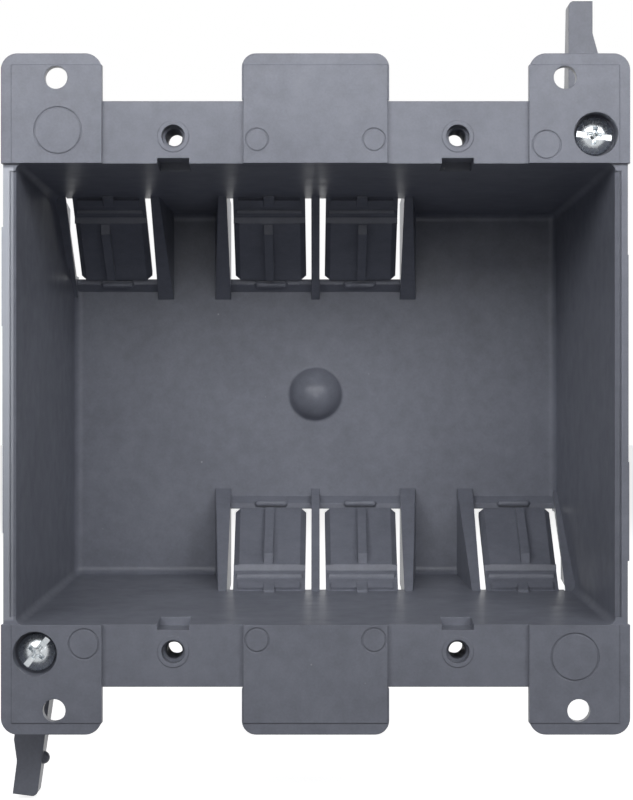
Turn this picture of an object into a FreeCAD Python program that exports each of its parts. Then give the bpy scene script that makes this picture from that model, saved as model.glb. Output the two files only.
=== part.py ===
"""Two-gang drywall back box with moulded cable clamps and two swing-out wings.

Millimetres. X runs to the right and +Z up as the box is seen from the room, and +Y runs into
the wall. The origin is the middle of the four device screws, on the frame's front face.
"""
import FreeCAD, Part
import math
import os

from FreeCAD import Vector

# Open-fronted shell, whose walls all lean in towards the back
MOUTH_WIDTH = 97.0
MOUTH_HEIGHT = 74.5
MOUTH_CORNER_R = 1.2
WALL = 2.0
DEPTH = 64.0
FLOOR = 2.0
DRAFT_DEGREES = 3.27
FLOOR_FILLET_R = 1.6
RIM_BEVEL = 0.7
RIM_GROOVE_WIDTH = 0.25
RIM_GROOVE_DEPTH = 0.3

# Device screws of a two-gang cover, at their standard spacing
GANG_SPACING = 46.04
DEVICE_EDGE_GAP = 4.42
DEVICE_BORE_R = 1.5
DEVICE_LEAD_R = 1.87
DEVICE_LEAD_DEPTH = 2.4
DEVICE_BOSS_R = 2.55
DEVICE_BOSS_END = 12.5
DEVICE_RING_RISE = 0.12
NOTCH_WIDTH = 5.15
NOTCH_CUT = 0.9
NOTCH_END = 8.5

# Front frame, which lies inside the hole in the drywall, and its gussets
FRAME_BAND = 10.1
FRAME_THICKNESS = 2.4
GUSSET_THICKNESS = 1.4
GUSSET_REACH = 9.0

# Ears, which rest on the drywall
EAR_REACH = 7.65
EAR_OVERHANG = 2.3
EAR_THICKNESS = 2.4
EAR_PROUD = 0.8
CORNER_EAR_WIDTH = 16.3
CORNER_EAR_R = 2.7
MIDDLE_EAR_WIDTH = 23.8
MIDDLE_EAR_R = 2.3
MIDDLE_EAR_SHOULDER = 0.25
PAD_RISE = 0.15
PAD_END_MARGIN = 1.85
PAD_SIDE_MARGIN = 1.7
EAR_HOLE_R = 1.85
UPPER_HOLE_INSETS = (8.9, 10.5)
LOWER_HOLE_INSETS = (8.6, 8.3)
EAR_HOLE_REACH = 3.75

# Clamp screws, mirrored through the middle of the box
SCREW_SIDE_INSET = 5.5
SCREW_TOP_INSET = 5.4
SCREW_R = 1.75
SCREW_LENGTH = 44.0
SCREW_TIP_TAPER = 0.8
SCREW_CLEARANCE = 0.09
HEAD_R = 3.05
HEAD_EDGE = 1.0
HEAD_DOME = 0.9
SLOT_WIDTH = 1.05
SLOT_DEPTH = 0.8
CROSS_REACH = 1.7
CROSS_WIDTH = 1.0
CROSS_DEPTH = 1.35
SEAT_DEPTH = 3.4
RECESS_R = 3.57
SCREW_BOSS_WALL = 1.5
SCREW_BOSS_FLOOR = 2.4
UPPER_SLOT_DEGREES = -7.0
LOWER_SLOT_DEGREES = 51.0

# Swing-out wings, which ride on the screws' threads
WING_LENGTH = 25.2
WING_WIDTH = 4.1
WING_TIP_R = 0.9
WING_TIP_DEPTH = 5.0
WING_ROOT_DEPTH = 9.0
WING_ROOT_HEIGHT = 6.0
WING_SHOULDER = 0.95
WING_SHOULDER_START = 19.7
WING_SHOULDER_END = 16.2
HUB_R = 3.0
THREAD_CLEARANCE = 0.05
UPPER_WING_FRONT = 24.0
LOWER_WING_FRONT = 13.5
LOWER_WING_TILT = -7.3
GATE_STUB_R = 1.1
GATE_STUB_REACH = 18.9

# Stop ribs beside the hubs, which end the wings' swing
STOP_GAP = 0.2
STOP_FRONT = 10.2
STOP_SHORT = 11.0
STOP_FOOT = 5.0
STOP_FOOT_GAP = 8.0

# Cable clamps: a springy tongue across each corner opening, between two cheeks
CLAMP_PITCH = 16.5
OUTER_CLAMP_INSET = 11.75
POCKET_WIDTH = 15.0
POCKET_LENGTH = 21.3
CHEEK_THICKNESS = 1.5
CHEEK_LENGTH = 24.0
CHEEK_FOOT_DROP = 19.65
LEDGE_LOW_DROP = 18.25
LEDGE_HIGH_DROP = 15.95
LEDGE_STEP = 1.3
LEDGE_RISE = 1.6
LEDGE_PAD_LENGTH = 6.1
LEDGE_PAD_WIDTH = 1.3
RELIEF_REACH = 1.6
RELIEF_WEB = 0.8
TONGUE_WIDTH = 13.1
TONGUE_ROOT_NARROWING = 0.18
TONGUE_BEVEL = 0.95
TONGUE_ROOT_RISE = 24.8
TONGUE_ROOT_DROP = 2.45
TONGUE_TIP_RISE = 3.0
TONGUE_TIP_DROP = 16.1
TONGUE_THICKNESS = 1.9
HINGE_THICKNESS = 1.1
HINGE_END = 8.0
HINGE_RAMP = 0.8
ROOT_BAR = (1.4, 3.3)
ROOT_BAR_WIDTH = 11.0
HINGE_BEAD = (4.85, 6.45)
HINGE_BEAD_WIDTH = 11.7
BAR_RISE = 0.55
BLOCK_WIDTH = 1.9
BLOCK_LENGTH = 25.1
BLOCK_RISE = 0.9
TONGUE_RIB_WIDTH = 1.6
TONGUE_RIB_RISE = 1.5
TONGUE_RIB_START = 8.35
TONGUE_RIB_RAMP = 0.9
TONGUE_RIB_END_GAP = 0.8
OUTER_RIB_SHIFT = 0.95
CENTRE_RIB_SHIFT = 0.2

# Marks of the mould
DOME_R = 4.85
DOME_RISE = 3.6
DOME_FILLET_R = 0.6
GATE_WELL_R = 3.4
GATE_WELL_DEPTH = 1.2
RING_WIDTH = 0.28
RING_DEPTH = 0.15
SIDE_PAD_RISE = 0.25
SIDE_PAD_Z = (11.0, 27.0)
SIDE_STEP_Z = 22.5
SIDE_STEP_RISE = 0.12
CORNER_PIN_MARKS = (
    (-1, 1, 9.2, 5.25, 3.92),
    (1, 1, 13.5, 2.95, 2.4),
    (1, -1, 8.9, 5.25, 3.95),
    (-1, -1, 13.4, 3.15, 2.55),
)
MIDDLE_PIN_MARKS = (
    (9.45, 1, 3.75, 1.95),
    (9.45, -1, 2.5, 2.05),
)

# Small overlaps that join one form to the next, and how far cuts run past a face
BITE = 0.5
PAST = 2.0

# Places that follow from the mouth and the depth
MOUTH_EDGE = MOUTH_HEIGHT / 2
DEVICE_HEIGHT = MOUTH_HEIGHT + 2 * DEVICE_EDGE_GAP
FRAME_HEIGHT = MOUTH_HEIGHT + 2 * FRAME_BAND
EARS_HEIGHT = FRAME_HEIGHT + 2 * EAR_REACH
EARS_WIDTH = MOUTH_WIDTH + 2 * EAR_OVERHANG
EAR_SIDE = EARS_WIDTH / 2
SCREW_X = EAR_SIDE - SCREW_SIDE_INSET
SCREW_Z = FRAME_HEIGHT / 2 - SCREW_TOP_INSET
STOP_END = DEPTH - STOP_SHORT
OUTER_CLAMP_X = MOUTH_WIDTH / 2 - OUTER_CLAMP_INSET
POCKET_FRONT = DEPTH - POCKET_LENGTH
CHEEK_FRONT = DEPTH - CHEEK_LENGTH
CHEEK_FOOT_HEIGHT = MOUTH_EDGE - CHEEK_FOOT_DROP
LEDGE_LOW = MOUTH_EDGE - LEDGE_LOW_DROP
LEDGE_HIGH = MOUTH_EDGE - LEDGE_HIGH_DROP
LEDGE_DEPTH = DEPTH - LEDGE_RISE
TONGUE_ROOT = (DEPTH - TONGUE_ROOT_RISE, MOUTH_EDGE - TONGUE_ROOT_DROP)
TONGUE_TIP = (DEPTH - TONGUE_TIP_RISE, MOUTH_EDGE - TONGUE_TIP_DROP)
BLOCK_FRONT = DEPTH - BLOCK_LENGTH
EAR_BACK = EAR_THICKNESS - EAR_PROUD
BODY_WIDTH = MOUTH_WIDTH + 2 * WALL
BACK = DEPTH + FLOOR
PAST_THE_BACK = BACK + PAST
FLANK = BODY_WIDTH / 2
BACK_OF_CLAMPS = DEPTH + BITE
CENTRE_CLAMP_X = CLAMP_PITCH / 2


def lean(depth):
    """How far a wall has leaned in at this depth."""
    return depth * math.tan(math.radians(DRAFT_DEGREES))


def wall_height(depth):
    """Height of the inner face of the top wall above the middle."""
    return MOUTH_HEIGHT / 2 - lean(depth)


def flank_width(depth):
    """Distance of the inner face of a side wall from the middle."""
    return MOUTH_WIDTH / 2 - lean(depth)


def segment(start, end):
    return Part.LineSegment(start, end).toShape()


def arc(start, middle, end):
    return Part.Arc(start, middle, end).toShape()


def outline(corners, to_space):
    """Closed wire through (u, v, radius) corners, where radius 0 keeps the corner sharp."""
    flat = [Vector(u, v, 0) for u, v, _ in corners]
    starts, mids, ends = [], [], []
    for index, corner in enumerate(flat):
        radius = corners[index][2]
        back = (flat[index - 1] - corner).normalize()
        ahead = (flat[(index + 1) % len(flat)] - corner).normalize()
        if radius == 0:
            starts.append(corner)
            mids.append(None)
            ends.append(corner)
            continue
        half_angle = back.getAngle(ahead) / 2
        reach = radius / math.tan(half_angle)
        inward = (back + ahead).normalize()
        starts.append(corner + back * reach)
        mids.append(corner + inward * (radius / math.sin(half_angle) - radius))
        ends.append(corner + ahead * reach)
    edges = []
    for index in range(len(flat)):
        leave = ends[index - 1]
        if (starts[index] - leave).Length > 1e-6:
            edges.append(segment(to_space(leave), to_space(starts[index])))
        if mids[index] is not None:
            edges.append(arc(to_space(starts[index]), to_space(mids[index]), to_space(ends[index])))
    return Part.Wire(edges)


def front_prism(corners, near, far):
    """Solid with an outline in X and Z, from one depth to another."""
    wire = outline(corners, lambda p: Vector(p.x, near, p.y))
    return Part.Face(wire).extrude(Vector(0, far - near, 0))


def side_prism(corners, left, right):
    """Solid with an outline in depth and Z, from one X to another."""
    wire = outline(corners, lambda p: Vector(left, p.x, p.y))
    return Part.Face(wire).extrude(Vector(right - left, 0, 0))


def plan_prism(corners, low, high):
    """Solid with an outline in X and depth, from one Z to another."""
    wire = outline(corners, lambda p: Vector(p.x, p.y, low))
    return Part.Face(wire).extrude(Vector(0, 0, high - low))


def block(x_range, y_range, z_range):
    """Plain block between the given limits."""
    low = Vector(min(x_range), min(y_range), min(z_range))
    high = Vector(max(x_range), max(y_range), max(z_range))
    size = high - low
    return Part.makeBox(size.x, size.y, size.z, low)


def peg(x, z, radius, near, far):
    """Round pin along the depth."""
    return Part.makeCylinder(radius, far - near, Vector(x, near, z), Vector(0, 1, 0))


def half_turn(shape):
    """Copy of a form on the other side of the middle of the box."""
    turned = shape.copy()
    turned.rotate(Vector(0, 0, 0), Vector(0, 1, 0), 180)
    return turned


def both_ways(shapes):
    """The forms and their copies turned through half a turn."""
    return shapes + [half_turn(shape) for shape in shapes]


def drafted_block(half_width, half_height, radius, near, far):
    """Block that follows the lean of the walls, with its four long edges rounded."""
    rings = []
    for depth in (near, far):
        w = half_width - lean(depth)
        h = half_height - lean(depth)
        rings.append([Vector(x, depth, z) for x, z in ((-w, -h), (w, -h), (w, h), (-w, h))])
    front, back = rings
    sides = [[front[i - 1], front[i], back[i], back[i - 1]] for i in range(len(front))]
    faces = [Part.Face(Part.makePolygon(ring + ring[:1])) for ring in rings + sides]
    sharp = Part.makeSolid(Part.makeShell(faces))
    long_edges = [e for e in sharp.Edges if e.BoundBox.YLength > (far - near) / 2]
    return sharp.makeFillet(radius, long_edges)


def shell_outside():
    half_width = MOUTH_WIDTH / 2 + WALL
    half_height = MOUTH_HEIGHT / 2 + WALL
    return drafted_block(half_width, half_height, MOUTH_CORNER_R + WALL, 0, BACK)


def cavity():
    """Inside of the box, with a small fillet all round its floor."""
    room = drafted_block(MOUTH_WIDTH / 2, MOUTH_HEIGHT / 2, MOUTH_CORNER_R, -PAST, DEPTH)
    floor_edges = [e for e in room.Edges if min(v.Y for v in e.Vertexes) > DEPTH - 1e-6]
    return room.makeFillet(FLOOR_FILLET_R, floor_edges)


def front_frame():
    """Plate round the mouth, as high as the hole in the drywall."""
    half_height = FRAME_HEIGHT / 2
    return block((-FLANK, FLANK), (0, FRAME_THICKNESS), (-half_height, half_height))


def device_places():
    for x in (-GANG_SPACING / 2, GANG_SPACING / 2):
        for z in (-DEVICE_HEIGHT / 2, DEVICE_HEIGHT / 2):
            yield x, z


def device_bosses():
    front = -DEVICE_RING_RISE
    return [peg(x, z, DEVICE_BOSS_R, front, DEVICE_BOSS_END) for x, z in device_places()]


def device_cuts():
    """Screw holes with their lead-ins, and the notch in the wall beside each."""
    cuts = []
    for x, z in device_places():
        cuts.append(peg(x, z, DEVICE_BORE_R, -PAST, DEVICE_BOSS_END + PAST))
        cuts.append(peg(x, z, DEVICE_LEAD_R, -PAST, DEVICE_LEAD_DEPTH))
        side = math.copysign(1, z)
        deep = side * (MOUTH_HEIGHT / 2 + NOTCH_CUT)
        shallow = side * (wall_height(NOTCH_END) - BITE)
        half_notch = NOTCH_WIDTH / 2
        cuts.append(block((x - half_notch, x + half_notch), (-PAST, NOTCH_END), (shallow, deep)))
    return cuts


def gussets():
    """Webs between the frame and the top wall, clear of the swinging wings."""
    foot = wall_height(GUSSET_REACH)
    head = FRAME_HEIGHT / 2
    profile = [
        (FRAME_THICKNESS - BITE, foot, 0),
        (GUSSET_REACH, foot, 0),
        (GUSSET_REACH, foot + WALL + BITE, 0),
        (FRAME_THICKNESS, head - BITE, 0),
        (FRAME_THICKNESS - BITE, head - BITE, 0),
    ]
    middle = MIDDLE_EAR_WIDTH / 2 - GUSSET_THICKNESS
    webs = []
    for x in (-middle, middle):
        webs.append(side_prism(profile, x - GUSSET_THICKNESS / 2, x + GUSSET_THICKNESS / 2))
    return both_ways(webs)


def ear(left, right, radius):
    """Upper ear with two rounded corners."""
    top = EARS_HEIGHT / 2
    foot = MOUTH_HEIGHT / 2
    corners = [(left, foot, 0), (right, foot, 0), (right, top, radius), (left, top, radius)]
    return front_prism(corners, PAD_RISE - EAR_PROUD, EAR_BACK)


def corner_ear(side):
    outer = side * EARS_WIDTH / 2
    inner = side * (EARS_WIDTH / 2 - CORNER_EAR_WIDTH)
    plate = ear(min(outer, inner), max(outer, inner), CORNER_EAR_R)
    pad_outer = outer - side * PAD_SIDE_MARGIN
    top = EARS_HEIGHT / 2 - PAD_END_MARGIN
    pad = block((inner, pad_outer), (-EAR_PROUD, EAR_BACK), (MOUTH_HEIGHT / 2, top))
    return plate.fuse(pad)


def middle_ear():
    half = MIDDLE_EAR_WIDTH / 2
    waist = half - MIDDLE_EAR_SHOULDER
    foot = MOUTH_HEIGHT / 2
    frame_edge = FRAME_HEIGHT / 2
    top = EARS_HEIGHT / 2
    corners = [
        (-waist, foot, 0),
        (waist, foot, 0),
        (waist, frame_edge, 0),
        (half, frame_edge + MIDDLE_EAR_SHOULDER, 0),
        (half, top, MIDDLE_EAR_R),
        (-half, top, MIDDLE_EAR_R),
        (-half, frame_edge + MIDDLE_EAR_SHOULDER, 0),
        (-waist, frame_edge, 0),
    ]
    plate = front_prism(corners, PAD_RISE - EAR_PROUD, EAR_BACK)
    pad = block((-waist, waist), (-EAR_PROUD, EAR_BACK), (foot, top - PAD_END_MARGIN))
    return plate.fuse(pad)


def ears():
    return both_ways([corner_ear(-1), corner_ear(1), middle_ear()])


def ear_holes():
    height = FRAME_HEIGHT / 2 + EAR_HOLE_REACH
    holes = []
    for z, insets in ((height, UPPER_HOLE_INSETS), (-height, LOWER_HOLE_INSETS)):
        for side, inset in zip((-1, 1), insets):
            x = side * (EAR_SIDE - inset)
            holes.append(peg(x, z, EAR_HOLE_R, -PAST, FRAME_THICKNESS + PAST))
    return holes


def screw_boss():
    """Seat of the upper clamp screw behind the corner ear."""
    far = SEAT_DEPTH + SCREW_BOSS_FLOOR
    boss = peg(SCREW_X, SCREW_Z, RECESS_R + SCREW_BOSS_WALL, FRAME_THICKNESS - BITE, far)
    half_height = FRAME_HEIGHT / 2
    return boss.common(block((0, FLANK), (0, far), (0, half_height)))


def screw_cuts():
    """Head recess and clearance hole of the upper clamp screw."""
    recess = peg(SCREW_X, SCREW_Z, RECESS_R, -PAST, SEAT_DEPTH)
    hole_r = SCREW_R + SCREW_CLEARANCE
    hole = peg(SCREW_X, SCREW_Z, hole_r, -PAST, SEAT_DEPTH + SCREW_BOSS_FLOOR + PAST)
    return both_ways([recess, hole])


def wing_half_root():
    return WING_WIDTH / 2 + WING_SHOULDER


def stop_rib():
    """Wall beside the upper hub that the wing comes up against, on a foot along the side."""
    tilt = math.radians(LOWER_WING_TILT)
    edge = FRAME_HEIGHT / 2
    above = edge - SCREW_Z
    offset = wing_half_root() / math.cos(tilt) - above * math.tan(tilt) + STOP_GAP
    inner = SCREW_X + offset
    foot_inner = flank_width(STOP_END) + WALL - BITE
    foot_top = SCREW_Z - HUB_R - STOP_FOOT_GAP
    foot_low = foot_top - STOP_FOOT
    depths = (STOP_FRONT, STOP_END)
    blade = block((inner, FLANK), depths, (foot_low, edge))
    foot = block((foot_inner, FLANK), depths, (foot_low, foot_top))
    return blade.fuse(foot)


def side_pads():
    """Slightly raised fields on the outside of the right-hand wall."""
    inner = FLANK - WALL / 2
    forms = []
    for low, high, rise in (
        (-SIDE_PAD_Z[1], -SIDE_PAD_Z[0], SIDE_PAD_RISE),
        (-SIDE_PAD_Z[0], SIDE_STEP_Z, SIDE_STEP_RISE),
    ):
        corners = [
            (inner, 0, 0),
            (FLANK + rise, 0, 0),
            (FLANK - lean(BACK) + rise, BACK, 0),
            (inner - lean(BACK), BACK, 0),
        ]
        forms.append(plan_prism(corners, low, high))
    return both_ways(forms)


def rim_cuts():
    """Bevel along the inner edge of the right-hand rim, and the fine groove beside it."""
    edge = flank_width(0)
    half_height = wall_height(0) - MOUTH_CORNER_R
    bevel = plan_prism(
        [
            (edge - PAST, -PAST, 0),
            (edge + RIM_BEVEL + PAST, -PAST, 0),
            (edge - PAST, RIM_BEVEL + PAST, 0),
        ],
        -half_height,
        half_height,
    )
    groove_x = edge + RIM_BEVEL
    groove = block(
        (groove_x, groove_x + RIM_GROOVE_WIDTH),
        (-PAST, RIM_GROOVE_DEPTH),
        (-half_height, half_height),
    )
    return both_ways([bevel, groove])


def clamp_edges(centre):
    return centre - POCKET_WIDTH / 2, centre + POCKET_WIDTH / 2


def pocket_cut(centre):
    """Corner opening through the top wall and the floor."""
    return block(clamp_edges(centre), (POCKET_FRONT, PAST_THE_BACK), (LEDGE_HIGH, MOUTH_HEIGHT))


def sloped_wall(left, right):
    """Wall across the corner of the top wall and the floor."""
    profile = [
        (CHEEK_FRONT, wall_height(CHEEK_FRONT), 0),
        (DEPTH, CHEEK_FOOT_HEIGHT, 0),
        (BACK_OF_CLAMPS, CHEEK_FOOT_HEIGHT, 0),
        (BACK_OF_CLAMPS, wall_height(BACK_OF_CLAMPS) + BITE, 0),
        (CHEEK_FRONT, wall_height(CHEEK_FRONT) + BITE, 0),
    ]
    return side_prism(profile, left, right)


def cheek(inner, way):
    """Sloped wall beside a tongue, whose far face leans away from the tongue."""
    near = inner + way * CHEEK_THICKNESS
    far = near + way * lean(BACK_OF_CLAMPS - CHEEK_FRONT)
    plan = [
        (inner, CHEEK_FRONT, 0),
        (near, CHEEK_FRONT, 0),
        (far, BACK_OF_CLAMPS, 0),
        (inner, BACK_OF_CLAMPS, 0),
    ]
    wall = sloped_wall(min(inner, far), max(inner, far))
    return wall.common(plan_prism(plan, 0, MOUTH_EDGE))


def ledge(centre):
    """Stepped bar across the foot of a pocket, with a rounded pad for a screwdriver's tip."""
    profile = [
        (BACK, LEDGE_LOW, 0),
        (DEPTH, LEDGE_LOW, 0),
        (LEDGE_DEPTH, LEDGE_LOW + LEDGE_STEP, 0),
        (LEDGE_DEPTH, LEDGE_HIGH, 0),
        (BACK, LEDGE_HIGH, 0),
    ]
    left, right = clamp_edges(centre)
    bar = side_prism(profile, left - BITE, right + BITE)
    r = LEDGE_PAD_WIDTH / 2
    half = LEDGE_PAD_LENGTH / 2 - r
    start = Vector(centre - half, LEDGE_DEPTH, LEDGE_LOW + LEDGE_STEP)
    end = Vector(centre + half, LEDGE_DEPTH, LEDGE_LOW + LEDGE_STEP)
    pad = Part.makeCylinder(r, 2 * half, start, Vector(1, 0, 0))
    return bar.fuse([pad, Part.makeSphere(r, start), Part.makeSphere(r, end)])


def tongue_point(along, rise):
    """Depth and height of a point on a tongue, from its root and above its inner face."""
    span_y = TONGUE_TIP[0] - TONGUE_ROOT[0]
    span_z = TONGUE_TIP[1] - TONGUE_ROOT[1]
    length = math.hypot(span_y, span_z)
    slope_y = span_y / length
    slope_z = span_z / length
    depth = TONGUE_ROOT[0] + slope_y * along + slope_z * rise
    height = TONGUE_ROOT[1] + slope_z * along - slope_y * rise
    return depth, height, 0


def tongue_length():
    return math.dist(TONGUE_ROOT, TONGUE_TIP)


def tongue(centre, rib_shift):
    """Springy plate with its thin hinge, cross bars, block and middle rib."""
    length = tongue_length()
    plate_profile = [
        (TONGUE_ROOT[0], wall_height(TONGUE_ROOT[0]) + WALL - BITE, 0),
        tongue_point(0, -TONGUE_THICKNESS + HINGE_THICKNESS),
        tongue_point(HINGE_END - HINGE_RAMP, -TONGUE_THICKNESS + HINGE_THICKNESS),
        tongue_point(HINGE_END, 0),
        tongue_point(length, 0),
        tongue_point(length, -TONGUE_THICKNESS),
        tongue_point(0, -TONGUE_THICKNESS),
    ]
    half = TONGUE_WIDTH / 2
    plate = side_prism(plate_profile, centre - half, centre + half)
    for side in (-1, 1):
        edge = centre + side * half
        plate = plate.cut([tongue_side_cut(edge, side), tongue_edge_bevel(edge, side)])
    rib = tongue_rib(centre + rib_shift)
    return plate.fuse([root_bar(centre), hinge_bead(centre), hinge_block(centre), rib])


def tongue_side_cut(edge, side):
    """Sliver that narrows the plate towards its root."""
    near = TONGUE_ROOT[0] - PAST
    plan = [
        (edge - side * TONGUE_ROOT_NARROWING, near, 0),
        (edge, TONGUE_TIP[0] + PAST, 0),
        (edge + side * PAST, TONGUE_TIP[0] + PAST, 0),
        (edge + side * PAST, near, 0),
    ]
    return plan_prism(plan, 0, MOUTH_EDGE + PAST)


def tongue_edge_bevel(edge, side):
    """Wedge that bevels one long edge of the plate."""
    length = tongue_length()
    sections = []
    for along in (HINGE_END, length + PAST):
        line = edge - side * TONGUE_ROOT_NARROWING * (1 - along / (length + PAST))
        corners = [
            (line + side * PAST, PAST),
            (line - side * (TONGUE_BEVEL + PAST), PAST),
            (line + side * PAST, -TONGUE_BEVEL - PAST),
        ]
        points = []
        for x, rise in corners:
            depth, height, _ = tongue_point(along, rise)
            points.append(Vector(x, depth, height))
        sections.append(Part.makePolygon(points + points[:1]))
    return Part.makeLoft(sections, True, True)


def tongue_strip(centre, width, stations, rise):
    """Bar across or along the tongue, between two places along it."""
    base = -TONGUE_THICKNESS + HINGE_THICKNESS / 2
    start, end = stations
    profile = [
        tongue_point(start, base),
        tongue_point(start, rise),
        tongue_point(end, rise),
        tongue_point(end, base),
    ]
    return side_prism(profile, centre - width / 2, centre + width / 2)


def hinge_face():
    return HINGE_THICKNESS - TONGUE_THICKNESS


def root_bar(centre):
    return tongue_strip(centre, ROOT_BAR_WIDTH, ROOT_BAR, hinge_face() + BAR_RISE)


def hinge_bead(centre):
    """Half-round bead across the hinge."""
    start, end = HINGE_BEAD
    r = (end - start) / 2
    depth, height, _ = tongue_point((start + end) / 2, hinge_face() + BAR_RISE - r)
    left = Vector(centre - HINGE_BEAD_WIDTH / 2, depth, height)
    return Part.makeCylinder(r, HINGE_BEAD_WIDTH, left, Vector(1, 0, 0))


def hinge_block(centre):
    """Small block where the tongue leaves the wall."""
    end = tongue_point(ROOT_BAR[1], hinge_face() + BAR_RISE)
    face = wall_height(BLOCK_FRONT)
    profile = [
        (BLOCK_FRONT, face + BITE, 0),
        (BLOCK_FRONT, face - BLOCK_RISE / 2, 0),
        (POCKET_FRONT - PAST, wall_height(POCKET_FRONT) - BLOCK_RISE, 0),
        end,
        (end[0], wall_height(POCKET_FRONT) + BITE, 0),
    ]
    return side_prism(profile, centre - BLOCK_WIDTH / 2, centre + BLOCK_WIDTH / 2)


def tongue_rib(centre):
    """Stiffening rib down the middle of the tongue."""
    end = tongue_length() - TONGUE_RIB_END_GAP
    base = -TONGUE_THICKNESS / 2
    profile = [
        tongue_point(TONGUE_RIB_START, base),
        tongue_point(TONGUE_RIB_START, 0),
        tongue_point(TONGUE_RIB_START + TONGUE_RIB_RAMP, TONGUE_RIB_RISE),
        tongue_point(end, TONGUE_RIB_RISE / 2),
        tongue_point(end, base),
    ]
    return side_prism(profile, centre - TONGUE_RIB_WIDTH / 2, centre + TONGUE_RIB_WIDTH / 2)


def clamp_centres():
    return (-OUTER_CLAMP_X, -CENTRE_CLAMP_X, CENTRE_CLAMP_X)


def cheeks():
    """Walls beside the tongues; the outermost joins the side wall, and two clamps share the middle one."""
    far_left, far_right = clamp_edges(-OUTER_CLAMP_X)
    middle_left = clamp_edges(-CENTRE_CLAMP_X)[1]
    middle_right = clamp_edges(CENTRE_CLAMP_X)[0]
    return [
        sloped_wall(-flank_width(CHEEK_FRONT) - BITE / 2, far_left),
        cheek(far_right, 1),
        cheek(clamp_edges(-CENTRE_CLAMP_X)[0], -1),
        sloped_wall(middle_left, middle_right),
        cheek(clamp_edges(CENTRE_CLAMP_X)[1], 1),
    ]


def cable_clamps():
    forms = cheeks()
    shifts = (-OUTER_RIB_SHIFT, -CENTRE_RIB_SHIFT, CENTRE_RIB_SHIFT)
    for centre, rib_shift in zip(clamp_centres(), shifts):
        forms.append(ledge(centre))
        forms.append(tongue(centre, rib_shift))
    return both_ways(forms)


def relief_cut():
    """Room behind the web beside the outermost tongue, cut a little way into the side wall."""
    edge = clamp_edges(-OUTER_CLAMP_X)[0]
    low = tongue_point(tongue_length(), -RELIEF_WEB)
    profile = [
        tongue_point(0, -RELIEF_WEB),
        low,
        (PAST_THE_BACK, low[1], 0),
        (PAST_THE_BACK, MOUTH_EDGE + PAST, 0),
        (TONGUE_ROOT[0], MOUTH_EDGE + PAST, 0),
    ]
    return side_prism(profile, edge - RELIEF_REACH, edge)


def pocket_cuts():
    return both_ways([pocket_cut(centre) for centre in clamp_centres()])


def dome():
    """Smooth bump in the middle of the floor, blended into it round its foot."""
    top = DEPTH - DOME_RISE
    base = DEPTH + BITE
    ball_r = (DOME_R ** 2 + DOME_RISE ** 2) / (2 * DOME_RISE)
    centre = Vector(0, top + ball_r, 0)
    blend_y = DEPTH - DOME_FILLET_R
    blend_x = math.sqrt((ball_r + DOME_FILLET_R) ** 2 - (blend_y - centre.y) ** 2)
    blend = Vector(blend_x, blend_y, 0)
    outward = (blend - centre).normalize()
    touch = centre + outward * ball_r
    foot = Vector(blend_x, DEPTH, 0)
    crown_way = (Vector(0, -1, 0) + outward).normalize()
    blend_way = (Vector(0, 1, 0) - outward).normalize()
    profile = Part.Wire([
        segment(Vector(0, base, 0), Vector(0, top, 0)),
        arc(Vector(0, top, 0), centre + crown_way * ball_r, touch),
        arc(touch, blend + blend_way * DOME_FILLET_R, foot),
        segment(foot, Vector(blend_x, base, 0)),
        segment(Vector(blend_x, base, 0), Vector(0, base, 0)),
    ])
    return Part.Face(profile).revolve(Vector(0, 0, 0), Vector(0, 1, 0), 360)


def gate_well():
    return peg(0, 0, GATE_WELL_R, BACK - GATE_WELL_DEPTH, PAST_THE_BACK)


def pin_marks():
    """Fine rings that the mould's pins leave on the front."""
    marks = []
    for side, way, inset, reach, radius in CORNER_PIN_MARKS:
        marks.append((side * (EAR_SIDE - inset), way * (MOUTH_EDGE + reach), radius))
    for x, way, reach, radius in MIDDLE_PIN_MARKS:
        marks.append((-x, way * (MOUTH_EDGE + reach), radius))
        marks.append((x, way * (MOUTH_EDGE + reach), radius))
    rings = []
    for x, z, radius in marks:
        disc = peg(x, z, radius, -PAST, RING_DEPTH - EAR_PROUD)
        core = peg(x, z, radius - RING_WIDTH, -2 * PAST, PAST)
        rings.append(disc.cut(core))
    return rings


def box_body():
    """The whole moulding, open at the front and at the six cable entries."""
    solid = shell_outside().fuse([front_frame()] + ears() + device_bosses() + gussets())
    solid = solid.fuse(both_ways([screw_boss(), stop_rib()]) + side_pads())
    solid = solid.cut([cavity()] + pocket_cuts())
    solid = solid.fuse(cable_clamps() + [dome()])
    cuts = device_cuts() + ear_holes() + screw_cuts() + rim_cuts() + pin_marks()
    return solid.cut(cuts + [gate_well()] + both_ways([relief_cut()])).removeSplitter()


def turned(shape, x, z, degrees):
    """Copy turned about an axis along the depth, counter-clockwise as seen from the room."""
    copy = shape.copy()
    copy.rotate(Vector(x, 0, z), Vector(0, -1, 0), degrees)
    return copy


def wing_blank():
    """Upper wing pointing straight up, hub on the screw's axis, front face at depth 0."""
    half = WING_WIDTH / 2
    corners = [
        (-half, 0, 0),
        (wing_half_root(), 0, 0),
        (wing_half_root(), WING_SHOULDER_END, 0),
        (half, WING_SHOULDER_START, 0),
        (half, WING_LENGTH, 0),
        (-half, WING_LENGTH, WING_TIP_R),
    ]
    blade = front_prism(corners, 0, WING_ROOT_DEPTH)
    side = [
        (0, -HUB_R, 0),
        (WING_ROOT_DEPTH, -HUB_R, 0),
        (WING_ROOT_DEPTH, WING_ROOT_HEIGHT, 0),
        (WING_TIP_DEPTH, WING_LENGTH, 0),
        (0, WING_LENGTH, 0),
    ]
    blade = blade.common(side_prism(side, -2 * HUB_R, 2 * HUB_R))
    hub = peg(0, 0, HUB_R, 0, WING_ROOT_DEPTH)
    bore = peg(0, 0, SCREW_R + THREAD_CLEARANCE, -PAST, WING_ROOT_DEPTH + PAST)
    return blade.fuse(hub).cut(bore)


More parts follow.
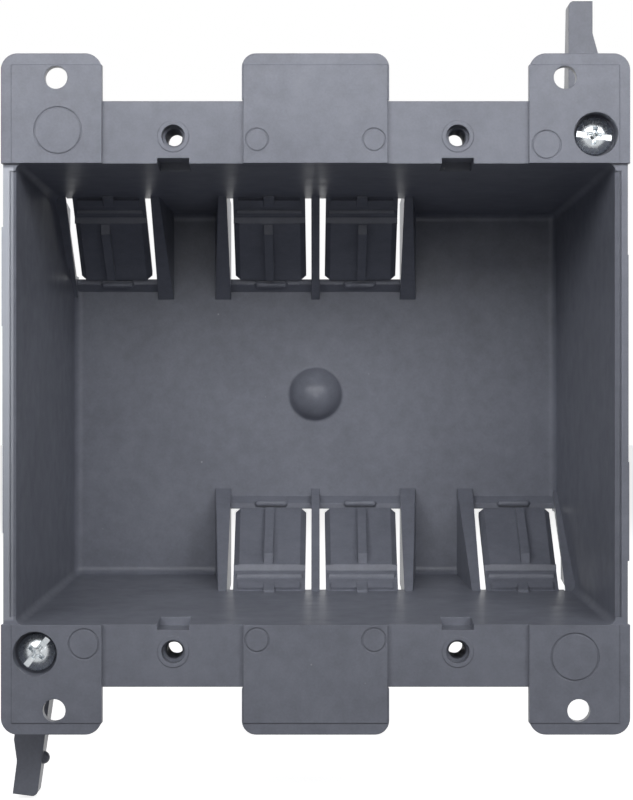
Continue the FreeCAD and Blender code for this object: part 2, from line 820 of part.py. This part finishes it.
def gate_stub():
    """Leftover of the mould's gate on the inner edge of a wing."""
    centre = Vector(-WING_WIDTH / 2, WING_TIP_DEPTH / 2, GATE_STUB_REACH)
    return Part.makeSphere(GATE_STUB_R, centre)


def upper_wing():
    wing = wing_blank().removeSplitter()
    wing.translate(Vector(SCREW_X, UPPER_WING_FRONT, SCREW_Z))
    return wing


def lower_wing():
    wing = wing_blank().fuse(gate_stub()).removeSplitter()
    wing.translate(Vector(SCREW_X, LOWER_WING_FRONT, SCREW_Z))
    wing = half_turn(wing)
    return turned(wing, -SCREW_X, -SCREW_Z, LOWER_WING_TILT)


def screw_head():
    """Low domed head with a slot across it and a cross recess in the middle."""
    under = SEAT_DEPTH
    edge = under - HEAD_EDGE
    top = edge - HEAD_DOME
    dome_r = (HEAD_R ** 2 + HEAD_DOME ** 2) / (2 * HEAD_DOME)
    middle = HEAD_R * 0.55
    rise = math.sqrt(dome_r ** 2 - middle ** 2) - (dome_r - HEAD_DOME)
    profile = Part.Wire([
        segment(Vector(0, under, 0), Vector(0, top, 0)),
        arc(Vector(0, top, 0), Vector(middle, edge - rise, 0), Vector(HEAD_R, edge, 0)),
        segment(Vector(HEAD_R, edge, 0), Vector(HEAD_R, under, 0)),
        segment(Vector(HEAD_R, under, 0), Vector(0, under, 0)),
    ])
    head = Part.Face(profile).revolve(Vector(0, 0, 0), Vector(0, 1, 0), 360)
    slot = block((-HEAD_R - PAST, HEAD_R + PAST), (top - PAST, top + SLOT_DEPTH),
                 (-SLOT_WIDTH / 2, SLOT_WIDTH / 2))
    arm = block((-CROSS_REACH, CROSS_REACH), (top - PAST, top + CROSS_DEPTH),
                (-CROSS_WIDTH / 2, CROSS_WIDTH / 2))
    return head.cut([slot, arm, turned(arm, 0, 0, 90)])


def screw_shank():
    tip = SEAT_DEPTH + SCREW_LENGTH
    straight = peg(0, 0, SCREW_R, SEAT_DEPTH - BITE, tip - SCREW_TIP_TAPER)
    point = Part.makeCone(
        SCREW_R, SCREW_R - SCREW_TIP_TAPER / 2, SCREW_TIP_TAPER,
        Vector(0, tip - SCREW_TIP_TAPER, 0), Vector(0, 1, 0),
    )
    return straight.fuse(point)


def clamp_screw(slot_degrees):
    screw = turned(screw_head(), 0, 0, slot_degrees)
    return screw.fuse(screw_shank()).removeSplitter()


def upper_clamp_screw():
    screw = clamp_screw(UPPER_SLOT_DEGREES)
    screw.translate(Vector(SCREW_X, 0, SCREW_Z))
    return screw


def lower_clamp_screw():
    screw = clamp_screw(LOWER_SLOT_DEGREES)
    screw.translate(Vector(-SCREW_X, 0, -SCREW_Z))
    return screw


def main():
    os.makedirs("parts", exist_ok=True)
    makers = (box_body, upper_wing, lower_wing, upper_clamp_screw, lower_clamp_screw)
    for maker in makers:
        shape = maker()
        shape.exportStep(os.path.join("parts", maker.__name__ + ".step"))
        print(maker.__name__, shape.isValid(), len(shape.Solids), round(shape.Volume, 1))


main()
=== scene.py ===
"""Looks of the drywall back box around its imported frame. Metres, +Z up, the wall lies towards +Y."""

import math

import bmesh
import bpy
from mathutils import Matrix, Vector


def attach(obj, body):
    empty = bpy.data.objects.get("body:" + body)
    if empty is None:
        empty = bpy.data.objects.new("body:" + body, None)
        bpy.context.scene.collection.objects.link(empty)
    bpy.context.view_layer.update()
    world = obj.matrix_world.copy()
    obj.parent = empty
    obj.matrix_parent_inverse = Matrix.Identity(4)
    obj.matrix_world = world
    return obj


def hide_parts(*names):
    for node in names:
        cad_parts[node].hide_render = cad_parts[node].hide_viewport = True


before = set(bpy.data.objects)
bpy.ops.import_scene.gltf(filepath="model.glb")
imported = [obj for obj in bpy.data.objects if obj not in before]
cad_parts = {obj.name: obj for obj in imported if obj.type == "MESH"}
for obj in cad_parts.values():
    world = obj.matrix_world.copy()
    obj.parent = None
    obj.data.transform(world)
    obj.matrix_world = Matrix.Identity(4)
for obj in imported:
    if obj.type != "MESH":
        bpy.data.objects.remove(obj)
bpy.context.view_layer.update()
MM = 0.001
FULL_TURN = 2 * math.pi

# Camera: the eye is 420 mm in front of the mouth, on the box's own axis
EYE_DISTANCE = 0.42
PICTURE = (633, 800)
PIXELS_PER_METRE = 6185.0
AXIS_PIXEL = (315.5, 394.0)
SENSOR_WIDTH = 36.0


def make_camera():
    """Camera whose picture has the front face at PIXELS_PER_METRE and the box's axis at AXIS_PIXEL."""
    longer_side = max(PICTURE)
    data = bpy.data.cameras.new("eye")
    data.sensor_width = SENSOR_WIDTH
    data.lens = SENSOR_WIDTH * PIXELS_PER_METRE * EYE_DISTANCE / longer_side
    data.shift_x = (PICTURE[0] / 2 - AXIS_PIXEL[0]) / longer_side
    data.shift_y = -(PICTURE[1] / 2 - AXIS_PIXEL[1]) / longer_side
    data.clip_start = 0.01
    data.clip_end = 50.0
    eye = bpy.data.objects.new("eye", data)
    eye.location = (0, -EYE_DISTANCE, 0)
    eye.rotation_euler = (math.pi / 2, 0, 0)
    bpy.context.scene.collection.objects.link(eye)
    bpy.context.scene.camera = eye


make_camera()


def area_light(name, place, target, size, power, spread=180):
    """Lamp that the camera doesn't see; the sizes are metres, the power watts and the spread degrees."""
    data = bpy.data.lights.new(name, "AREA")
    data.shape = "RECTANGLE"
    data.size, data.size_y = size
    data.energy = power
    data.spread = math.radians(spread)
    lamp = bpy.data.objects.new(name, data)
    lamp.location = place
    lamp.rotation_euler = (Vector(target) - Vector(place)).to_track_quat("-Z", "Y").to_euler()
    lamp.visible_camera = False
    bpy.context.scene.collection.objects.link(lamp)


# Small lamps near the box shade its front from top to bottom; wide ones fill it and light its back
area_light("near_key", (0.0, -0.12, 0.13), (0, 0.02, 0.03), (0.20, 0.05), 0.022)
area_light("face_key", (0.0, -0.11, 0.075), (0, 0.0, 0.05), (0.22, 0.03), 0.031, spread=100)
area_light("upper_front", (0.0, -0.45, 0.18), (0, 0.02, 0.0), (0.50, 0.20), 0.68)
area_light("left", (-0.20, -0.24, 0.14), (0, 0.02, 0.0), (0.12, 0.10), 0.23)
area_light("right", (0.20, -0.24, 0.14), (0, 0.02, 0.0), (0.12, 0.10), 0.26)
area_light("rim_left", (-0.12, -0.06, 0.03), (-0.04, 0.0, 0.01), (0.03, 0.08), 0.004)
area_light("inner_fill", (-0.004, -0.05, -0.012), (-0.004, 0.06, -0.006), (0.06, 0.03), 0.0006, spread=64)
area_light("rear_left", (-0.45, 0.55, 0.35), (0, 0.03, 0.0), (0.5, 0.4), 1.2)
area_light("rear_right", (0.45, 0.55, 0.35), (0, 0.03, 0.0), (0.5, 0.4), 1.2)


class Nodes:
    """A short way to write a node tree."""

    def __init__(self, tree):
        self.tree = tree
        tree.nodes.clear()

    def add(self, kind, inputs=None, **settings):
        """New node; an input is a number, a colour or another node's output."""
        node = self.tree.nodes.new(kind)
        for key, value in settings.items():
            setattr(node, key, value)
        for key, value in (inputs or {}).items():
            self.put(value, node.inputs[key])
        return node

    def put(self, value, socket):
        if isinstance(value, bpy.types.NodeSocket):
            self.tree.links.new(value, socket)
        else:
            socket.default_value = value

    def math(self, operation, a, b=0.0):
        return self.add("ShaderNodeMath", {0: a, 1: b}, operation=operation).outputs[0]

    def noise(self, where, scale, detail, roughness=0.5, distortion=0.0):
        node = self.add(
            "ShaderNodeTexNoise",
            {"Vector": where, "Scale": scale, "Detail": detail, "Roughness": roughness,
             "Distortion": distortion},
        )
        return node.outputs["Fac"]

    def ramp(self, value, low, high, to_low=0.0, to_high=1.0):
        """The value's way from low to high, held at both ends, as a way from to_low to to_high."""
        node = self.add(
            "ShaderNodeMapRange",
            {"Value": value, "From Min": low, "From Max": high, "To Min": to_low, "To Max": to_high},
        )
        return node.outputs["Result"]

    def mix(self, factor, a, b):
        """Colour a where the factor is 0, colour b where it is 1."""
        node = self.add("ShaderNodeMix", data_type="RGBA")
        self.put(factor, node.inputs[0])
        self.put(a, node.inputs[6])
        self.put(b, node.inputs[7])
        return node.outputs[2]

    def bevel(self, radius):
        return self.add("ShaderNodeBevel", {"Radius": radius}, samples=4).outputs[0]

    def bump(self, height, strength, distance, normal):
        node = self.add(
            "ShaderNodeBump",
            {"Height": height, "Strength": strength, "Distance": distance, "Normal": normal},
        )
        return node.outputs[0]

    def ray_kinds(self):
        """1 for camera rays; 1 for camera, glossy and transmission rays."""
        path = self.add("ShaderNodeLightPath").outputs
        seen = self.math("MAXIMUM", path["Is Camera Ray"], path["Is Glossy Ray"])
        return path["Is Camera Ray"], self.math("MAXIMUM", seen, path["Is Transmission Ray"])


WHITE = (1, 1, 1, 1)
AMBIENT_COLOUR = (0.86, 0.92, 1.0, 1)
AMBIENT_LEVEL = 0.008


def make_world():
    """White where it is seen, and a faint cool ambient light everywhere else."""
    world = bpy.data.worlds.new("studio")
    bpy.context.scene.world = world
    world.use_nodes = True
    n = Nodes(world.node_tree)
    seen = n.ray_kinds()[1]
    dim = n.add("ShaderNodeBackground", {"Color": AMBIENT_COLOUR, "Strength": AMBIENT_LEVEL})
    white = n.add("ShaderNodeBackground", {"Color": WHITE, "Strength": 1.0})
    both = n.add("ShaderNodeMixShader", {0: seen, 1: dim.outputs[0], 2: white.outputs[0]})
    n.add("ShaderNodeOutputWorld", {"Surface": both.outputs[0]})


make_world()

bpy.context.scene.view_settings.view_transform = "Standard"

# PVC: its clouds go from the dark colour to the light one
PVC_DARK = (0.154, 0.163, 0.198)
PVC_LIGHT = (0.214, 0.226, 0.272)
PVC_FLECK = (0.34, 0.35, 0.38)
CLOUD_SCALE = 70.0
MOTTLE_SCALE = 420.0
GRAIN_SCALE = 2600.0
FLECK_SCALE = 330.0
FLECK_PATCH_SCALE = 190.0
SHEEN_SCALE = 240.0
WAVE_SCALE = 110.0
PVC_SHEEN = (0.30, 0.40)
PVC_IOR = 1.52
PVC_SPECULAR = 0.26
PVC_EDGE_ROUNDING = 0.22 * MM

# Painted light on the left edge of the mouth: a lighter colour stands in for light falling there,
# strongest in its upper part
RIM_PAINTED_LIGHT_COLOUR = (0.52, 0.545, 0.61, 1)
RIM_PAINTED_LIGHT_STRENGTH = 0.8
RIM_PAINTED_LIGHT_SIDE = -48.9 * MM
RIM_PAINTED_LIGHT_SIDE_FADE = 0.1 * MM
RIM_PAINTED_LIGHT_FRONT = (0.2 * MM, 0.5 * MM)
RIM_PAINTED_LIGHT_HEIGHT = (36.4 * MM, 36.8 * MM)
RIM_PAINTED_LIGHT_FALL = (-30.0 * MM, 4.0 * MM)
RIM_PAINTED_LIGHT_FALL_LEVEL = 0.45

# Zinc plating
ZINC_DARK = (0.46, 0.50, 0.53, 1)
ZINC_LIGHT = (0.72, 0.74, 0.76, 1)
ZINC_SHEEN = (0.16, 0.34)
ZINC_EDGE_ROUNDING = 0.1 * MM
FINE_BUMP = 0.04 * MM


def new_material(name):
    made = bpy.data.materials.new(name)
    made.use_nodes = True
    return made, Nodes(made.node_tree)


def tinted(colour, tint):
    return [part * tint for part in colour] + [1]


def painted_rim_light_share(n, coords):
    """Share of the painted light: 1 on the front edge of the left wall, 0 everywhere else, weaker towards
    the bottom.
    """
    spot = n.add("ShaderNodeSeparateXYZ", {0: coords}).outputs
    edge = n.ramp(spot[0], RIM_PAINTED_LIGHT_SIDE + RIM_PAINTED_LIGHT_SIDE_FADE, RIM_PAINTED_LIGHT_SIDE)
    front = n.ramp(spot[1], RIM_PAINTED_LIGHT_FRONT[1], RIM_PAINTED_LIGHT_FRONT[0])
    height = n.ramp(n.math("ABSOLUTE", spot[2]), RIM_PAINTED_LIGHT_HEIGHT[1], RIM_PAINTED_LIGHT_HEIGHT[0])
    share = n.math("MULTIPLY", n.math("MULTIPLY", edge, front), height)
    return n.math("MULTIPLY", share, n.ramp(spot[2], *RIM_PAINTED_LIGHT_FALL, RIM_PAINTED_LIGHT_FALL_LEVEL, 1.0))


def pvc(name, tint=1.0, seed=0.0, painted_rim_light=False):
    """Cool grey moulded PVC: cloudy colour, fine grain, soft edges and a few dull flecks; on request,
    painted light on the left edge of the mouth.
    """
    made, n = new_material(name)
    coords = n.add("ShaderNodeTexCoord").outputs["Object"]
    shift = (seed, seed * 0.7, seed * 0.3)
    where = n.add("ShaderNodeMapping", {"Vector": coords, "Location": shift}).outputs[0]
    cloud = n.noise(where, CLOUD_SCALE, 4.0, 0.6, 0.4)
    mottle = n.noise(where, MOTTLE_SCALE, 3.0, 0.6)
    grain = n.noise(where, GRAIN_SCALE, 2.0, 0.6)
    mixed = n.math("ADD", n.math("MULTIPLY", cloud, 0.45), n.math("MULTIPLY", mottle, 0.35))
    mixed = n.math("ADD", mixed, n.math("MULTIPLY", grain, 0.20))
    colour = n.mix(n.ramp(mixed, 0.34, 0.66), tinted(PVC_DARK, tint), tinted(PVC_LIGHT, tint))
    specks = n.add("ShaderNodeTexVoronoi", {"Vector": where, "Scale": FLECK_SCALE}).outputs["Distance"]
    patches = n.noise(where, FLECK_PATCH_SCALE, 0.0)
    fleck = n.math("MULTIPLY", n.ramp(specks, 0.07, 0.04), n.ramp(patches, 0.66, 0.70))
    colour = n.mix(fleck, colour, tinted(PVC_FLECK, tint))
    # Painted light: the left edge of the mouth is made lighter, more at the top, in place of light
    # falling on it from the left
    if painted_rim_light:
        share = n.math("MULTIPLY", painted_rim_light_share(n, coords), RIM_PAINTED_LIGHT_STRENGTH)
        colour = n.mix(share, colour, RIM_PAINTED_LIGHT_COLOUR)
    rough = n.ramp(n.noise(where, SHEEN_SCALE, 3.0, 0.6), 0.3, 0.7, *PVC_SHEEN)
    fine = n.bump(grain, 0.2, FINE_BUMP, n.bevel(PVC_EDGE_ROUNDING))
    broad = n.bump(n.noise(where, WAVE_SCALE, 2.0), 0.25, 0.3 * MM, fine)
    shader = n.add(
        "ShaderNodeBsdfPrincipled",
        {"Base Color": colour, "Roughness": rough, "Normal": broad, "IOR": PVC_IOR,
         "Specular IOR Level": PVC_SPECULAR},
    )
    n.add("ShaderNodeOutputMaterial", {"Surface": shader.outputs[0]})
    return made


def zinc(name):
    """Bright zinc plating with a faint mottle and fine marks."""
    made, n = new_material(name)
    where = n.add("ShaderNodeTexCoord").outputs["Object"]
    colour = n.mix(n.noise(where, 900.0, 3.0, 0.6), ZINC_DARK, ZINC_LIGHT)
    rough = n.ramp(n.noise(where, 1500.0, 3.0, 0.6), 0.3, 0.7, *ZINC_SHEEN)
    marks = n.noise(where, 3000.0, 3.0, 0.6)
    bump = n.bump(marks, 0.3, FINE_BUMP, n.bevel(ZINC_EDGE_ROUNDING))
    shader = n.add(
        "ShaderNodeBsdfPrincipled",
        {"Base Color": colour, "Metallic": 1.0, "Roughness": rough, "Normal": bump},
    )
    n.add("ShaderNodeOutputMaterial", {"Surface": shader.outputs[0]})
    return made


def dress(name, material):
    """Gives a CAD node its material."""
    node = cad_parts[name]
    node.data.materials.clear()
    node.data.materials.append(material)


# The body's material carries the painted light on the left edge of the mouth
body_pvc = pvc("body_pvc", painted_rim_light=True)
wing_pvc = pvc("wing_pvc", 0.97, 0.37)
plated = zinc("zinc_plating")
for node_name, node_material in (
    ("box_body", body_pvc),
    ("upper_wing", wing_pvc),
    ("lower_wing", wing_pvc),
    ("upper_clamp_screw", plated),
    ("lower_clamp_screw", plated),
):
    dress(node_name, node_material)


def piece(name, points, faces, material, body, smooth=True):
    """Piece that rides on a body, from points in millimetres of the shared frame."""
    mesh = bpy.data.meshes.new(name)
    mesh.from_pydata([tuple(c * MM for c in p) for p in points], [], faces)
    mesh.materials.append(material)
    shape = bmesh.new()
    shape.from_mesh(mesh)
    bmesh.ops.recalc_face_normals(shape, faces=shape.faces)
    shape.to_mesh(mesh)
    shape.free()
    mesh.update()
    if smooth:
        mesh.shade_smooth()
    made = bpy.data.objects.new(name, mesh)
    bpy.context.scene.collection.objects.link(made)
    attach(made, body)
    return made


def ring_point(radius, depth, angle, x=0.0, z=0.0):
    """Point of a circle about the line along +Y through (x, z)."""
    return x + radius * math.cos(angle), depth, z + radius * math.sin(angle)


def rings(profile_at, count, steps, closed):
    """Points and faces of a tube along +Y, whose rings come from profile_at(step, angle)."""
    points, faces = [], []
    for step in range(steps):
        for k in range(count):
            points.append(profile_at(step, FULL_TURN * k / count))
    for step in range(steps - 1):
        for k in range(count):
            a = step * count + k
            b = step * count + (k + 1) % count
            faces.append((a, a + count, b + count, b))
    if closed:
        faces.append(tuple(range(count)))
        faces.append(tuple(reversed(range((steps - 1) * count, steps * count))))
    return points, faces


# Clamp screws, in millimetres: (x, z, degrees of the slot)
SCREW_PLACES = {"upper": (45.3, 41.95, -7.0), "lower": (-45.3, -41.95, 51.0)}
HEAD_R = 3.05
HEAD_UNDER = 3.4
HEAD_EDGE = 1.0
HEAD_DOME = 0.9
HEAD_BEVEL = 0.12
HEAD_TOP = HEAD_UNDER - HEAD_EDGE - HEAD_DOME
HEAD_SIDES = 72
DOME_STEPS = 12
DOME_SHARE = 0.985
POLE_R = 0.02
NECK_R = 0.5
SHANK_R = 1.75
SHANK_SIDES = 36
THREAD_DEPTH = 0.34
THREAD_PITCH = 0.8
THREAD_SHARE = 0.82
THREAD_START = 1.2
THREAD_FADE = 1.0
STEPS_PER_PITCH = 7
TIP = 47.4
TIP_TAPER_LENGTH = 0.9
TIP_TAPER = 0.40

# Recesses of the screw heads, below the dome's top, in millimetres
SLOT_HALF_WIDTH = 0.52
SLOT_DEEP = 0.80
ARM_REACH = 1.75
ARM_HALF_WIDTH = 0.50
ARM_DEEP = 1.45
WELL_REACH = 0.86
WELL_DEEP = 1.60
SIDE_TAPER = 0.45
WELD_DISTANCE = 0.0005


def head_outline():
    """(depth, radius) down the dome, round its rim and in below it."""
    dome_r = (HEAD_R ** 2 + HEAD_DOME ** 2) / (2 * HEAD_DOME)
    edge = HEAD_UNDER - HEAD_EDGE
    line = []
    for step in range(DOME_STEPS + 1):
        r = HEAD_R * DOME_SHARE * step / DOME_STEPS
        rise = math.sqrt(dome_r ** 2 - r ** 2) - (dome_r - HEAD_DOME)
        line.append((edge - rise, max(r, POLE_R)))
    line.append((edge + HEAD_BEVEL, HEAD_R))
    line.append((HEAD_UNDER - HEAD_BEVEL, HEAD_R))
    line.append((HEAD_UNDER, HEAD_R - HEAD_BEVEL))
    line.append((HEAD_UNDER, NECK_R))
    return line


def wedge(half_length, half_width, top, bottom, taper):
    """Cutter for one arm of a recess, narrower at its floor."""
    points = []
    for y, shrink in ((top, 0.0), (bottom, taper)):
        for x, z in ((-1, -1), (1, -1), (1, 1), (-1, 1)):
            points.append((x * (half_length - shrink), y, z * (half_width - shrink * SIDE_TAPER)))
    faces = [(0, 1, 2, 3), (7, 6, 5, 4), (0, 4, 5, 1), (1, 5, 6, 2), (2, 6, 7, 3), (3, 7, 4, 0)]
    return points, faces


def cut_away(solid, cutters):
    """Takes the cutters out of the solid and removes them."""
    for cutter in cutters:
        modifier = solid.modifiers.new("recess", "BOOLEAN")
        modifier.operation = "DIFFERENCE"
        modifier.solver = "EXACT"
        modifier.object = cutter
    bpy.context.view_layer.update()
    result = bpy.data.meshes.new_from_object(solid.evaluated_get(bpy.context.evaluated_depsgraph_get()))
    solid.modifiers.clear()
    solid.data = result
    shape = bmesh.new()
    shape.from_mesh(result)
    bmesh.ops.remove_doubles(shape, verts=shape.verts, dist=WELD_DISTANCE)
    bmesh.ops.triangulate(shape, faces=shape.faces)
    bmesh.ops.recalc_face_normals(shape, faces=shape.faces)
    shape.to_mesh(result)
    shape.free()
    for cutter in cutters:
        bpy.data.objects.remove(cutter)


def loose(name, points, faces, turn):
    """Object in millimetres, turned about the depth axis, that belongs to no body yet."""
    mesh = bpy.data.meshes.new(name)
    mesh.from_pydata([tuple(p) for p in points], [], faces)
    mesh.transform(Matrix.Rotation(turn, 4, "Y"))
    mesh.update()
    made = bpy.data.objects.new(name, mesh)
    bpy.context.scene.collection.objects.link(made)
    return made


def screw_head(side, turn):
    """Points and faces of a domed head with a slot, a cross and a well cut into it."""
    outline = head_outline()

    def head_at(step, angle):
        depth, radius = outline[step]
        return ring_point(radius, depth, angle)

    head = loose(side + "_head", *rings(head_at, HEAD_SIDES, len(outline), True), turn)
    slot = wedge(HEAD_R + 1.0, SLOT_HALF_WIDTH, HEAD_TOP - 1.0, HEAD_TOP + SLOT_DEEP, 0.05)
    arm = wedge(ARM_REACH, ARM_HALF_WIDTH, HEAD_TOP - 0.6, HEAD_TOP + ARM_DEEP, 0.75)
    well = wedge(WELL_REACH, WELL_REACH, HEAD_TOP - 0.6, HEAD_TOP + WELL_DEEP, 0.55)
    cut_away(head, [
        loose("slot", *slot, turn),
        loose("arm", *arm, turn),
        loose("cross_arm", *arm, turn + math.pi / 2),
        loose("well", *well, turn + math.pi / 4),
    ])
    points = [tuple(v.co) for v in head.data.vertices]
    faces = [tuple(p.vertices) for p in head.data.polygons]
    bpy.data.objects.remove(head)
    return points, faces


def thread_radius(depth, angle):
    """Radius of the shank's surface, with a V-shaped right-hand thread that fades at both ends."""
    turn = (depth / THREAD_PITCH + angle / FULL_TURN) % 1.0
    ridge = min(abs(turn - 0.5) * 2 / THREAD_SHARE, 1.0)
    fade = min(1.0, max(0.0, (depth - HEAD_UNDER - THREAD_START) / THREAD_FADE))
    tip = max(0.0, (depth - TIP + TIP_TAPER_LENGTH) / TIP_TAPER_LENGTH)
    return SHANK_R - THREAD_DEPTH * (1 - ridge) * fade - TIP_TAPER * tip


def screw_shank():
    """Points and faces of the threaded shank, which begins inside the head."""
    start = HEAD_UNDER - 0.3
    steps = int((TIP - start) / (THREAD_PITCH / STEPS_PER_PITCH)) + 1

    def shank_at(step, angle):
        depth = start + (TIP - start) * step / (steps - 1)
        return ring_point(thread_radius(depth, angle), depth, angle)

    return rings(shank_at, SHANK_SIDES, steps, True)


def clamp_screw(side):
    """One piece in place of a plain screw: its head is flat-shaded, its shank smooth."""
    x, z, slot_degrees = SCREW_PLACES[side]
    head_points, head_faces = screw_head(side, -math.radians(slot_degrees))
    shank_points, shank_faces = screw_shank()
    count = len(head_points)
    points = [(px + x, py, pz + z) for px, py, pz in head_points + shank_points]
    faces = head_faces + [tuple(i + count for i in face) for face in shank_faces]
    made = piece(side + "_screw_threaded", points, faces, plated, side + "_screw", smooth=False)
    for polygon in made.data.polygons:
        polygon.use_smooth = polygon.index >= len(head_faces)
    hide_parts(side + "_clamp_screw")


for screw_side in SCREW_PLACES:
    clamp_screw(screw_side)

# Threads in the four device-screw holes, in millimetres
BORE_PLACES = [(x, z) for x in (-23.02, 23.02) for z in (-41.67, 41.67)]
BORE_R = 1.5
BORE_NEAR = 2.5
BORE_FAR = 12.4
BORE_PITCH = 0.79
BORE_THREAD_DEPTH = 0.17
BORE_END_R = BORE_R + 0.03
BORE_OUTER_R = BORE_R + 0.05
BORE_SIDES = 40
BORE_STEPS = 88


def bore_thread(index, x, z):
    """Thin threaded lining of a hole."""

    def inner_at(step, angle):
        depth = BORE_NEAR + (BORE_FAR - BORE_NEAR) * step / (BORE_STEPS - 1)
        turn = (depth / BORE_PITCH + angle / FULL_TURN) % 1.0
        radius = BORE_R - BORE_THREAD_DEPTH * abs(turn - 0.5) * 2
        if step in (0, BORE_STEPS - 1):
            radius = BORE_END_R
        return ring_point(radius, depth, angle, x, z)

    points, faces = rings(inner_at, BORE_SIDES, BORE_STEPS, False)
    far_outer = len(points)
    near_outer = far_outer + BORE_SIDES
    far_inner = far_outer - BORE_SIDES
    for depth in (BORE_FAR, BORE_NEAR):
        for k in range(BORE_SIDES):
            points.append(ring_point(BORE_OUTER_R, depth, FULL_TURN * k / BORE_SIDES, x, z))
    for k in range(BORE_SIDES):
        m = (k + 1) % BORE_SIDES
        faces.append((far_inner + k, far_inner + m, far_outer + m, far_outer + k))
        faces.append((far_outer + k, far_outer + m, near_outer + m, near_outer + k))
        faces.append((near_outer + k, near_outer + m, m, k))
    made = piece("bore_thread_%d" % index, points, faces, body_pvc, "box")


for bore_index, (bore_x, bore_z) in enumerate(BORE_PLACES):
    bore_thread(bore_index, bore_x, bore_z)

# Floor, half a millimetre below the lower wing's tip
FLOOR_LEVEL = -0.0676
FLOOR_EDGE = 3.0
FLOOR_SHOWN = (0.8, 0.8, 0.8, 1)
FLOOR_BOUNCE = (0.22, 0.22, 0.22, 1)
FLOOR_GLOW = 0.85


def make_floor():
    """White floor that keeps the shadow where it is seen and throws little light back on the box."""
    e = FLOOR_EDGE
    mesh = bpy.data.meshes.new("floor")
    mesh.from_pydata([(-e, -e, 0), (e, -e, 0), (e, e, 0), (-e, e, 0)], [], [(0, 1, 2, 3)])
    floor = bpy.data.objects.new("floor", mesh)
    floor.location = (0, 0, FLOOR_LEVEL)
    bpy.context.scene.collection.objects.link(floor)
    made, n = new_material("floor_white")
    by_camera, seen = n.ray_kinds()
    paint = n.add("ShaderNodeBsdfDiffuse", {"Color": n.mix(by_camera, FLOOR_BOUNCE, FLOOR_SHOWN)})
    level = n.math("MULTIPLY", seen, FLOOR_GLOW)
    glow = n.add("ShaderNodeEmission", {"Color": WHITE, "Strength": level})
    both = n.add("ShaderNodeAddShader", {0: paint.outputs[0], 1: glow.outputs[0]})
    n.add("ShaderNodeOutputMaterial", {"Surface": both.outputs[0]})
    mesh.materials.append(made)


make_floor()
